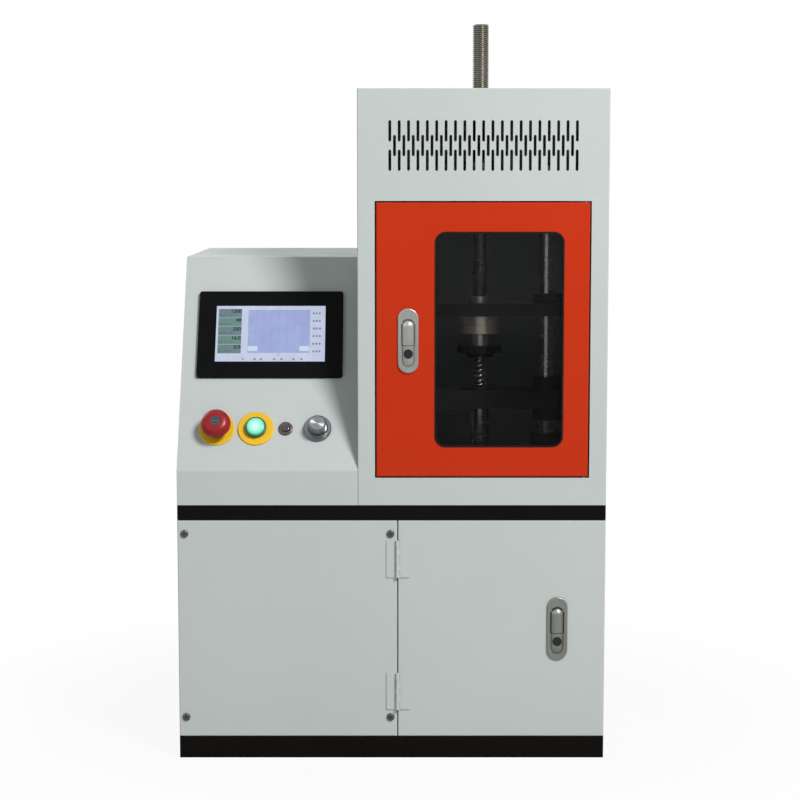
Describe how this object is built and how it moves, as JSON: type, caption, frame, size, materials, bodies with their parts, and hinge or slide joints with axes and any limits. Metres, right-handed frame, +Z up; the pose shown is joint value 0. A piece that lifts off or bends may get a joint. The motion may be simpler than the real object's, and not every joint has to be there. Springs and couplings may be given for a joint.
{
  "type": "spring fatigue tester",
  "caption": "Cabinet-mounted tester that squeezes a coil spring between a driven lower crosshead and a load cell behind a windowed door, with a sloped console beside it.",
  "frame": {"origin": "centre of the footprint on the floor", "axes": "+Z up, front faces -Y, +X to the right seen from the front"},
  "size_m": [0.6, 0.5485, 1.039],
  "materials": {
    "casing_grey": "light grey powder coat with a fine texture",
    "black_coat": "satin black paint",
    "door_red": "orange red powder coat",
    "lock_metal": "satin plated die casting",
    "key_dark": "dark plated key cylinder and cam",
    "pane": "smoked acrylic",
    "seal_rubber": "matt black extrusion",
    "display_black": "fine moulded black",
    "display_glass": "lit display",
    "ring_yellow": "moulded yellow",
    "stop_red": "glossy moulded red",
    "control_black": "moulded black",
    "lens_green": "lit translucent green",
    "control_metal": "polished metal",
    "knob_metal": "spun aluminium",
    "cast_black": "blackened iron",
    "ground_steel": "ground and polished steel",
    "thread_steel": "rolled thread, oiled",
    "spring_steel": "drawn spring wire",
    "motor_black": "black enamel",
    "belt_rubber": "toothed rubber belt",
    "drive_steel": "machined steel",
    "pulley_metal": "machined aluminium",
    "gear_housing": "zinc plated plate and grey housings"
  },
  "bodies": {
    "root": {"base_plinth": "black_coat", "cabinet_wrap": "casing_grey", "cabinet_posts": "casing_grey", "cabinet_partition": "casing_grey", "left_front_panel": "casing_grey", "panel_screws": "control_metal", "table_plate": "black_coat", "hinge_fixed_leaves": "casing_grey", "tower_front_frame": "casing_grey", "vent_grille": "casing_grey", "tower_wrap": "casing_grey", "tower_rear_panel": "casing_grey", "roof_grommet": "control_black", "console_shell": "casing_grey", "hmi_bezel": "display_black", "hmi_screen": "display_glass", "hmi_housing": "display_black", "legend_rings": "ring_yellow", "estop_body": "control_black", "start_body": "control_black", "reset_bezel": "control_metal", "speed_pot": "control_black", "base_block": "cast_black", "guide_columns": "ground_steel", "crown_plate": "cast_black", "drive_frame": "cast_black", "timing_belt": "belt_rubber", "servo_motor": "motor_black", "control_gear": "gear_housing", "power_inlet": "control_black"},
    "lower_door": {"lower_door": "casing_grey", "hinge_moving_leaves": "casing_grey", "lower_lock_housing": "lock_metal"},
    "lower_paddle": {"lower_lock_paddle": "lock_metal"},
    "lower_key": {"lower_lock_key": "key_dark"},
    "test_door": {"test_door": "door_red", "test_door_pane": "pane", "window_gasket": "seal_rubber", "test_door_pivots": "drive_steel", "upper_lock_housing": "lock_metal"},
    "upper_paddle": {"upper_lock_paddle": "lock_metal"},
    "upper_key": {"upper_lock_key": "key_dark"},
    "estop_plunger": {"estop_stem": "control_black"},
    "estop_head": {"estop_head": "stop_red"},
    "start_button": {"start_lens": "lens_green"},
    "reset_button": {"reset_cap": "control_black"},
    "speed_knob": {"speed_knob": "knob_metal"},
    "upper_train": {"adjusting_screw": "thread_steel", "upper_crosshead": "cast_black", "load_cell": "ground_steel", "upper_spring_seat": "cast_black"},
    "adjusting_nut": {"adjusting_nut": "drive_steel"},
    "lower_train": {"lower_crosshead": "cast_black", "test_spring": "spring_steel", "ram": "ground_steel", "ball_nut": "drive_steel"},
    "screw_shaft": {"ball_screw": "drive_steel", "driven_pulley": "pulley_metal"},
    "motor_shaft": {"drive_pulley": "pulley_metal"}
  },
  "joints": [
    {"name": "motor_spin", "type": "hinge", "parent": "root", "child": "motor_shaft", "pos_m": [0.225, -0.07, 0.1055], "axis": [0, 0, -1], "range_deg": [0, 2304]},
    {"name": "screw_spin", "type": "hinge", "parent": "root", "child": "screw_shaft", "pos_m": [0.13, -0.07, 0.1055], "axis": [0, 0, -1], "range_deg": [0, 1152]},
    {"name": "ram_lift", "type": "slide", "parent": "root", "child": "lower_train", "axis": [0, 0, 1], "range_m": [0, 0.016], "deforming": ["test_spring"]},
    {"name": "nut_turn", "type": "hinge", "parent": "root", "child": "adjusting_nut", "pos_m": [0.13, -0.07, 0.815], "axis": [0, 0, -1], "range_deg": [0, 9600]},
    {"name": "crosshead_lift", "type": "slide", "parent": "root", "child": "upper_train", "axis": [0, 0, 1], "range_m": [0, 0.08]},
    {"name": "lower_door_swing", "type": "hinge", "parent": "root", "child": "lower_door", "pos_m": [0.0086, -0.273, 0.0965], "axis": [0, 0, -1], "range_deg": [0, 110]},
    {"name": "test_door_swing", "type": "hinge", "parent": "root", "child": "test_door", "pos_m": [0.269, -0.265, 0.4024], "axis": [0, 0, 1], "range_deg": [0, 100]},
    {"name": "estop_press", "type": "slide", "parent": "root", "child": "estop_plunger", "axis": [0, 0.8584, -0.5131], "range_m": [0, 0.004], "stiffness_N_per_m": 800},
    {"name": "estop_twist", "type": "hinge", "parent": "estop_plunger", "child": "estop_head", "pos_m": [-0.24601, -0.24882, 0.47215], "axis": [0, -0.8584, 0.5131], "range_deg": [0, 45], "stiffness_Nm_per_rad": 0.05},
    {"name": "start_press", "type": "slide", "parent": "root", "child": "start_button", "axis": [0, 0.8584, -0.5131], "range_m": [0, 0.003], "stiffness_N_per_m": 500},
    {"name": "reset_press", "type": "slide", "parent": "root", "child": "reset_button", "axis": [0, 0.8584, -0.5131], "range_m": [0, 0.002], "stiffness_N_per_m": 500},
    {"name": "knob_turn", "type": "hinge", "parent": "root", "child": "speed_knob", "pos_m": [-0.104, -0.23732, 0.46528], "axis": [0, 0.8584, -0.5131], "range_deg": [0, 300]},
    {"name": "upper_paddle_lift", "type": "hinge", "parent": "test_door", "child": "upper_paddle", "pos_m": [0.0233, -0.27, 0.617], "axis": [-1, 0, 0], "range_deg": [0, 35], "stiffness_Nm_per_rad": 0.1},
    {"name": "upper_key_turn", "type": "hinge", "parent": "test_door", "child": "upper_key", "pos_m": [0.0233, -0.27, 0.5745], "axis": [0, 1, 0], "range_deg": [0, 90]},
    {"name": "lower_paddle_lift", "type": "hinge", "parent": "lower_door", "child": "lower_paddle", "pos_m": [0.233, -0.27, 0.2111], "axis": [-1, 0, 0], "range_deg": [0, 35], "stiffness_Nm_per_rad": 0.1},
    {"name": "lower_key_turn", "type": "hinge", "parent": "lower_door", "child": "lower_key", "pos_m": [0.233, -0.27, 0.1686], "axis": [0, -1, 0], "range_deg": [0, 90]}
  ],
  "couplings": [
    {"joint": "screw_spin", "follows": "ram_lift", "rad_per_m": 1256.6},
    {"joint": "motor_spin", "follows": "ram_lift", "rad_per_m": 2513.3},
    {"joint": "nut_turn", "follows": "crosshead_lift", "rad_per_m": 2094.4}
  ]
}
